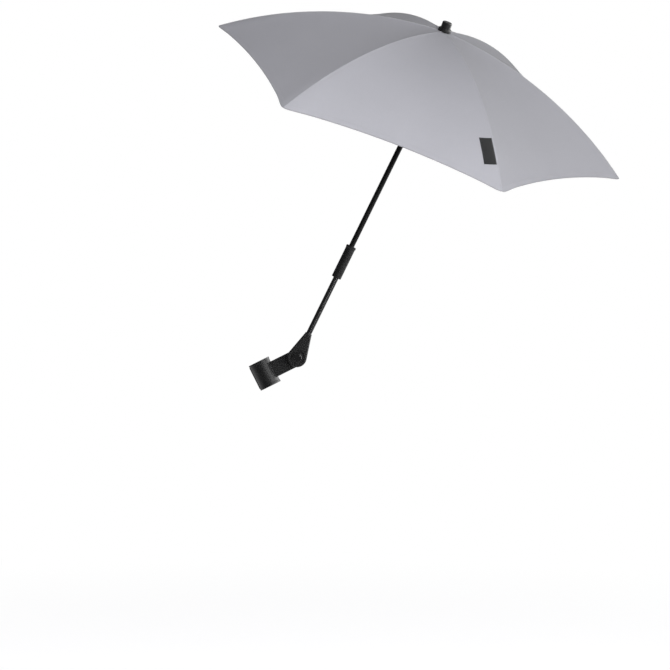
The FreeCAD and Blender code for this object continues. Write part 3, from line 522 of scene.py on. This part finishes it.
# %% [markdown]
# ## One sector of the cover
# The real cover is six gores sewn along the ribs into one sheet. When the canopy folds, each
# rib carries the cloth beside it, so the sheet is divided down the middle of each gore, where
# the cloth is smooth, and each sector rides its rib. The edges meet exactly, so it still
# reads as one sheet. A sector starts as a grid. Its columns crowd towards the seam and its
# rows towards the hem, because the felled seam, the turned hem and their puckers need them.

# %% Rows and columns
SEAM_COLUMNS = (0.0, 0.0011, 0.0019, 0.0026)
GORE_COLUMNS = 14
HEM_ROWS = (0.0122, 0.0116, 0.0110, 0.0102, 0.0095, 0.0086, 0.0074, 0.006, 0.0046, 0.0032,
            0.0018, 0.0009, 0.0004, 0.0)
BODY_ROWS = 226
SEAM_STEP, SEAM_SLOPE = 0.0003, (0.0017, 0.0027)
HEM_STEP, HEM_SLOPE = 0.00012, (0.0106, 0.0118)
HEM_ROW = 0.0095
PUCKER, PUCKER_PITCH, PUCKER_REACH, PUCKER_BEAT = 0.00017, 0.0071, 0.006, 0.057
RIPPLE, RIPPLE_PITCH, RIPPLE_REACH = 0.0002, 0.0092, 0.007
CROWDING = 1.7
CORNER_REACH = 0.007
CORNER_DEPTH = 0.15 * CORNER_REACH
rows = [row / BODY_ROWS * (1 - HEM_ROWS[0] / ARC_LENGTH) for row in range(BODY_ROWS)]
rows += [1 - distance / ARC_LENGTH for distance in HEM_ROWS]
COLUMNS = len(SEAM_COLUMNS) + GORE_COLUMNS - 1


def column_aside(column, along):
    """How far a column lies from the rib, its sign telling the side."""
    number = abs(column)
    if number < len(SEAM_COLUMNS):
        return math.copysign(SEAM_COLUMNS[number], column)
    share = ((number - len(SEAM_COLUMNS) + 1) / GORE_COLUMNS) ** CROWDING
    return math.copysign(SEAM_COLUMNS[-1] + share * (half_width(along) - SEAM_COLUMNS[-1]), column)


def cornered(along, aside):
    """A place along the rib, drawn in beside it so that the hem's corner is round."""
    near = max(1 - abs(aside) / CORNER_REACH, 0.0)
    return along * (1 - CORNER_DEPTH / ARC_LENGTH * near ** 2)


def cloth_lift(rib, along, aside):
    """How far seam, hem and puckers lift the cloth off its tight surface."""
    length, distance = along * ARC_LENGTH, abs(aside)
    to_hem = ARC_LENGTH - length
    turns = 2 * math.pi * length
    seam = SEAM_STEP * (1 - ease(distance, *SEAM_SLOPE))
    hem = HEM_STEP * (1 - ease(to_hem, *HEM_SLOPE))
    uneven = 0.65 + 0.35 * math.sin(turns / PUCKER_BEAT + 1.7 * rib)
    pucker = PUCKER * uneven * math.sin(turns / PUCKER_PITCH + rib)
    pucker *= math.exp(-distance / PUCKER_REACH)
    pucker *= ease(length, 0.02, 0.06) * ease(to_hem, 0.008, 0.02)
    ripple = RIPPLE * math.cos((half_width(along) - distance) * 2 * math.pi / RIPPLE_PITCH)
    ripple *= math.exp(-abs(to_hem - HEM_ROW) / RIPPLE_REACH) * ease(distance, 0.002, 0.012)
    return seam + hem + pucker + ripple * ease(to_hem, 0.0, 0.004)


print("sector grid", len(rows), "rows", 2 * COLUMNS + 1, "columns")

# %% [markdown]
# ## Weave, wall and place
# The UV map is the flat gore itself, in metres: down the middle of the gore and out from it.
# The lifted sheet gets its wall from Solidify, with a vertex group that makes the turned hem
# about twice as thick, except over the ribs, which lie close underneath. The wall goes
# inwards, so the sheet stays on the surface that the CAD panel has.

# %% Sew the six sectors
CLOTH_WALL, HEM_WALL = 0.0005, 0.0011
HEM_DEPTH = 0.0112
RIB_ROOM = 0.008
SHARP_FROM = math.radians(40)


def sector_sheet(rib):
    """One sector as an open sheet in the rib's frame, with its distances and its weave."""
    bm = bmesh.new()
    bmesh.ops.create_grid(bm, x_segments=len(rows) - 1, y_segments=2 * COLUMNS, size=1.0)
    seam_layer = bm.verts.layers.float.new("from_seam")
    hem_layer = bm.verts.layers.float.new("from_hem")
    cell = {}
    for vert in bm.verts:
        row = round((vert.co.x + 1) / 2 * (len(rows) - 1))
        column = round(vert.co.y * COLUMNS)
        along, aside = rows[row], column_aside(column, rows[row])
        cell[vert] = (along, aside)
        vert[seam_layer], vert[hem_layer] = abs(aside), (1 - along) * ARC_LENGTH
        vert.co = cloth_point(cornered(along, aside), aside)
    bm.normal_update()
    facing = {vert: vert.normal.copy() for vert in bm.verts}
    for vert, (along, aside) in cell.items():
        vert.co += facing[vert] * cloth_lift(rib, along, aside)
    weave = bm.loops.layers.uv.new("weave")
    for face in bm.faces:
        side = math.copysign(1.0, face.calc_center_median().y)
        for loop in face.loops:
            along, aside = cell[loop.vert]
            flat_out = half_width(along) - abs(aside)
            loop[weave].uv = (along * ARC_LENGTH * math.cos(HALF_GORE), side * flat_out)
        face.smooth = True
    return bm


def made_mesh(bm, name):
    """A mesh with the shape of a bmesh, which is freed."""
    mesh = bpy.data.meshes.new(name)
    bm.to_mesh(mesh)
    bm.free()
    return mesh


def finished(name, mesh, material, rib):
    """Puts a mesh made in a rib's frame into the scene, with its place in the mesh."""
    mesh.transform(rib_frame(rib))
    mesh.materials.clear()
    mesh.materials.append(material)
    piece = bpy.data.objects.new(name, mesh)
    bpy.context.scene.collection.objects.link(piece)
    return piece


def thickened(bm, wall, thick, weight):
    """A closed wall on an open sheet; weight says where it is thick."""
    mesh = made_mesh(bm, "sheet")
    sheet = bpy.data.objects.new("sheet", mesh)
    bpy.context.scene.collection.objects.link(sheet)
    group = sheet.vertex_groups.new(name="thick")
    for vert in mesh.vertices:
        group.add([vert.index], weight(vert.index), "REPLACE")
    solid = sheet.modifiers.new("wall", "SOLIDIFY")
    solid.thickness, solid.offset = thick, -1.0
    solid.vertex_group, solid.thickness_vertex_group = "thick", wall / thick
    view = bpy.context.evaluated_depsgraph_get()
    walled = bpy.data.meshes.new_from_object(sheet.evaluated_get(view))
    bpy.data.objects.remove(sheet)
    walled.set_sharp_from_angle(angle=SHARP_FROM)
    return walled


cloths, cloth_areas = {}, {}
for rib in RIBS:
    bm = sector_sheet(rib)
    cloth_areas[rib] = sum(face.calc_area() for face in bm.faces)
    seam_layer = bm.verts.layers.float["from_seam"]
    hem_layer = bm.verts.layers.float["from_hem"]
    bm.verts.ensure_lookup_table()
    heavy = [float(vert[hem_layer] < HEM_DEPTH and vert[seam_layer] > RIB_ROOM)
             for vert in bm.verts]
    walled = thickened(bm, CLOTH_WALL, HEM_WALL, heavy.__getitem__)
    cloths[rib] = finished(f"canopy_cloth_{rib}", walled, finishes["grey_cloth"], rib)
print("cloth area of a sector", round(cloth_areas[1], 4), "square metres,",
      len(cloths[1].data.polygons), "faces")

# %% [markdown]
# ## Stitching
# Two rows of thread hold each felled seam, and one row holds the hem. A texture could draw
# them, but they catch the light as small beads, so each stitch is a tiny stretched ball of
# twenty faces, laid on the cloth in its own direction. The thread is a shade paler than the
# cloth, as polyester thread is, and its twist shows as a fine grain.

# %% Thread finish and stitches
STITCH_PITCH = 0.0032
STITCH_SIZE = (0.00115, 0.00024, 0.0002)
SEAM_ROW, SEAM_START, SEAM_SPARE = 0.0014, 0.012, 0.02


def thread_finish(name, tone):
    f = Finish(bpy.data.materials.new(name))
    place = f.place()
    twist = f.noise(place, scale=3800, detail=2)
    soil = f.noise(place, scale=35, detail=3)
    colour = f.blend(twist * 0.5 + soil * 0.5, grey(tone * 0.8), grey(tone * 1.2))
    rough = 0.62 + (twist - 0.5) * 0.3
    return f.surface(colour, rough, twist, relief=0.00003,
                     fixed={"Sheen Weight": 0.2, "Specular IOR Level": 0.3})


def sewn(name, stances, material, rib):
    """A piece of thread with one stitch at each stance."""
    bm = bmesh.new()
    for stance in stances:
        bmesh.ops.create_icosphere(bm, subdivisions=1, radius=1.0,
                                   matrix=stance @ Matrix.Diagonal((*STITCH_SIZE, 1.0)))
    mesh = made_mesh(bm, "thread")
    mesh.shade_smooth()
    return finished(name, mesh, material, rib)


def seam_stances(side):
    """Stitches down one side of the felled seam."""
    count = int((ARC_LENGTH - SEAM_SPARE) / STITCH_PITCH)
    return [cloth_stance((SEAM_START + number * STITCH_PITCH) / ARC_LENGTH,
                         side * SEAM_ROW, SEAM_STEP) for number in range(count)]


def hem_stances():
    """Stitches along the hem, turned to run across the gore."""
    along = 1 - HEM_ROW / ARC_LENGTH
    count = int((half_width(along) - RIB_ROOM) / STITCH_PITCH)
    return [cloth_stance(along, side * (RIB_ROOM + number * STITCH_PITCH), HEM_STEP)
            @ Matrix.Rotation(math.radians(90), 4, "Z")
            for side in (-1, 1) for number in range(count)]


grey_thread = thread_finish("grey_thread", tone=0.47)
stances = seam_stances(-1) + seam_stances(1) + hem_stances()
threads = {rib: sewn(f"canopy_stitching_{rib}", stances, grey_thread, rib) for rib in RIBS}
print("stitching", len(threads[1].data.polygons), "faces to a sector")

# %% [markdown]
# ## A plain sewn tab
# A narrow tape of dark weave is sewn flat on the front gore, with one long edge against the
# seam. It carries nothing. It is a small grid laid on the cloth, thickened, with its rim
# turned down, and a row of dark stitches inside each long edge.

# %% Tab and its stitches
TAB_RIB, TAB_SIDE = 3, -1
TAB_MIDDLE, TAB_LENGTH = 0.802, 0.0562
TAB_NEAR, TAB_FAR = 0.0029, 0.0239
TAB_WALL, TAB_GAP, TAB_CROWN = 0.0006, 0.0003, 0.0003
TAB_ROWS, TAB_COLUMNS = 46, 22
END_RIM, SIDE_RIM = (0.94, 1.0), (0.9, 1.0)
STITCH_INSET, STITCH_START, STITCH_SPARE, STITCH_LIFT = 0.0016, 0.0035, 0.004, 0.0004


def beside_seam(outwards, aside):
    """A place on the tab, as shares of the cloth: the rows meet the rib at a slant."""
    along = TAB_MIDDLE + (outwards + aside * math.tan(HALF_GORE)) / ARC_LENGTH
    return along, TAB_SIDE * aside / math.cos(HALF_GORE)


def tab_finish(name, tone):
    f = Finish(bpy.data.materials.new(name))
    colour, weave, slub = woven(f, tone, contrast=1.2, tint=1.05)
    rough = 0.7 + (weave - 0.5) * 0.2
    return f.surface(colour, rough, weave + slub * 0.5, relief=0.00008,
                     fixed={"Specular IOR Level": 0.3, "Sheen Weight": 0.2})


bm = bmesh.new()
bmesh.ops.create_grid(bm, x_segments=TAB_ROWS, y_segments=TAB_COLUMNS, size=1.0)
weave = bm.loops.layers.uv.new("weave")
tab_width = TAB_FAR - TAB_NEAR
for face in bm.faces:
    face.smooth = True
    for loop in face.loops:
        x, y, _ = loop.vert.co
        loop[weave].uv = (x * TAB_LENGTH / 2, y * tab_width / 2)
for vert in bm.verts:
    x, y, _ = vert.co
    place = beside_seam(x * TAB_LENGTH / 2, TAB_NEAR + (y + 1) / 2 * tab_width)
    rim = 1 - 0.5 * max(ease(abs(x), *END_RIM), ease(abs(y), *SIDE_RIM))
    crown = TAB_CROWN * (1 - x ** 2) * (1 - y ** 2)
    vert.co = cloth_stance(*place, (TAB_WALL + TAB_GAP) * rim + crown).translation
if TAB_SIDE < 0:
    bmesh.ops.reverse_faces(bm, faces=bm.faces[:])
tab_mesh = thickened(bm, TAB_WALL * 0.5, TAB_WALL, lambda index: 1.0)
tab = finished("canopy_tab", tab_mesh, tab_finish("dark_tape", tone=0.018), TAB_RIB)

count = int((TAB_LENGTH - STITCH_SPARE) / STITCH_PITCH)
places = [beside_seam(number * STITCH_PITCH - TAB_LENGTH / 2 + STITCH_START, aside)
          for aside in (TAB_NEAR + STITCH_INSET, TAB_FAR - STITCH_INSET) for number in range(count)]
stances = [cloth_stance(*place, TAB_WALL + STITCH_LIFT) for place in places]
dark_thread = thread_finish("dark_thread", tone=0.05)
tab_threads = sewn("canopy_tab_stitching", stances, dark_thread, TAB_RIB)
print("tab", round(TAB_LENGTH * 1000), "by", round(tab_width * 1000), "mm")

# %% [markdown]
# ## Cloth that follows the fold
# Each sector and its thread ride the rib. When the runner comes down and the ribs fold, the
# cloth between them has nowhere to go and gathers. Here each piece is only attached to its
# rib's body and given a mesh of its own, so it turns with the rib.


def gather(piece, rib):
    """Rides the rib, with a mesh of its own."""
    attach(piece, f"rib_{rib}")
    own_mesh(piece)


for rib in RIBS:
    cloth, on_it = cloths[rib], [threads[rib]]
    if rib == TAB_RIB:
        on_it += [tab, tab_threads]
    for piece in [cloth] + on_it:
        gather(piece, rib)
    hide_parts(f"canopy_panel_{rib}")
    2 * half_width(1.0)
print("sheets", len(cloths))

# %% [markdown]
# ## Floor
# The parasol hangs at the height at which it is used, above a plain pale floor. The floor takes
# the shadow near the middle and fades to the white of the background farther out, so no
# horizon shows. To the light it is an ordinary pale surface. In gloss it is white behind the
# parasol and dim in front, where a studio has no light on the floor, so black stays black.

# %% Floor
FLOOR_HEIGHT = -0.53
FLOOR_RADIUS = 9.0
WHITE_FROM, WHITE_AT = 0.3, 1.8
DIM_TO, BRIGHT_AT = -0.8, 0.4
PAINT_LOW, PAINT_HIGH, GLOW = grey(0.80, tint=1.0), grey(0.84, tint=1.0), grey(0.73, tint=1.0)
DIM, WHITE = grey(0.03, tint=1.0), grey(1.0, tint=1.0)


def by_ray(f, lit, mirrored, seen):
    """One shader for lighting, one for what gloss mirrors and one for what is seen."""
    path = f.node("ShaderNodeLightPath", output="Is Camera Ray")
    gloss, clear = f.output(path, "Is Glossy Ray"), f.output(path, "Is Transmission Ray")
    return f.mix((path + clear).between(0.0, 1.0), f.mix(gloss, lit, mirrored), seen)


bm = bmesh.new()
bmesh.ops.create_circle(bm, cap_ends=True, segments=96, radius=FLOOR_RADIUS,
                        matrix=Matrix.Translation((0.2, 0.0, FLOOR_HEIGHT)))
floor_mesh = made_mesh(bm, "floor")
f = Finish(bpy.data.materials.new("pale_floor"))
place = f.place()
spread = f.node("ShaderNodeVectorMath", {"operation": "LENGTH"}, {0: place}, "Value")
mottle = f.noise(place, scale=14, detail=3)
paint = f.blend(mottle, PAINT_LOW, PAINT_HIGH)
matt = f.node("ShaderNodeBsdfDiffuse", sockets={"Color": paint})
white = f.node("ShaderNodeEmission", sockets={"Color": WHITE})
glow = f.node("ShaderNodeEmission", sockets={"Color": GLOW})
near = f.node("ShaderNodeAddShader", sockets={0: matt, 1: glow})
far = f.mix(spread.between(WHITE_FROM, WHITE_AT), near, white)
dim = f.node("ShaderNodeEmission", sockets={"Color": DIM})
_, back, _ = f.split(place)
mirrored = f.mix(back.between(DIM_TO, BRIGHT_AT), dim, far)
f.node("ShaderNodeOutputMaterial", sockets={"Surface": by_ray(f, matt, mirrored, far)})
floor_mesh.materials.append(f.owner)
floor = bpy.data.objects.new("floor", floor_mesh)
bpy.context.scene.collection.objects.link(floor)
print("floor at", FLOOR_HEIGHT)

# %% [markdown]
# ## Light and background
# The picture has the soft, nearly shadowless light of a studio. One wide soft lamp stands low
# beside the camera, so the front gore is the brightest and the left gore the darkest. Three
# lamps to the right show in gloss alone: two broad ones, beside and behind, brighten the cuff
# towards its right edge, and a small low one draws the line of light down rod and sleeve. The
# world gives a soft fill, stronger from below. What is seen directly is plain white, and what
# is mirrored is the same white behind and a dim room on the camera's side.

# %% World and lamps
FILL_LOW, FILL_HIGH = grey(0.36), grey(0.17)

world = bpy.data.worlds.new("studio")
bpy.context.scene.world = world
f = Finish(world)
_, back, up = f.split(f.node("ShaderNodeTexCoord", output="Generated"))
low, high, dark, paper = (f.node("ShaderNodeBackground", sockets={"Color": colour})
                          for colour in (FILL_LOW, FILL_HIGH, DIM, WHITE))
fill = f.mix(up.between(-0.3, 0.8), low, high)
mirrored = f.mix(back.between(0.5, 0.9), dark, paper)
f.node("ShaderNodeOutputWorld", sockets={"Surface": by_ray(f, fill, mirrored, paper)})


def soft_lamp(name, place, aim, size, power, mirrored):
    """A square soft lamp that faces a point and either lights matt faces or shows in gloss."""
    lamp = bpy.data.lights.new(name, "AREA")
    lamp.size, lamp.energy = size, power
    holder = bpy.data.objects.new(name, lamp)
    holder.location = place
    holder.rotation_euler = (Vector(aim) - Vector(place)).to_track_quat("-Z", "Y").to_euler()
    holder.visible_diffuse, holder.visible_glossy = not mirrored, mirrored
    bpy.context.scene.collection.objects.link(holder)


CANOPY_MIDDLE = (0.3, -0.05, 0.5)
CLAMP, ROD = (0.1, 0.0, 0.1), (0.1, 0.0, 0.25)
soft_lamp("key", (0.6, -3.6, 0.0), CANOPY_MIDDLE, size=2.2, power=168.0, mirrored=False)
soft_lamp("side", (2.4, -1.6, 0.9), CLAMP, size=2.0, power=54.0, mirrored=True)
soft_lamp("rear", (2.7, 0.9, 1.0), CLAMP, size=2.6, power=140.0, mirrored=True)
soft_lamp("low", (1.32, -1.73, -0.3), ROD, size=0.4, power=8.0, mirrored=True)
print("lamps", [lamp.name for lamp in bpy.data.lights])

# %% [markdown]
# ## Camera
# The picture was taken level, square to the side and from far away with a long lens.

# %% Camera
SENSOR_WIDTH, FOCAL_LENGTH = 36.0, 106.3
FROM_KNUCKLE = Vector((0.0704, -3.6638, 0.0417))

lens = bpy.data.cameras.new("camera")
lens.sensor_width, lens.lens = SENSOR_WIDTH, FOCAL_LENGTH
camera = bpy.data.objects.new("camera", lens)
camera.location = Vector(joints["arm_tilt"]["pos_m"]) + FROM_KNUCKLE
camera.rotation_euler = (math.radians(90), 0.0, 0.0)
bpy.context.scene.collection.objects.link(camera)
bpy.context.scene.camera = camera
bpy.context.scene.view_settings.view_transform = "Standard"
print("camera", tuple(round(x, 3) for x in camera.location))
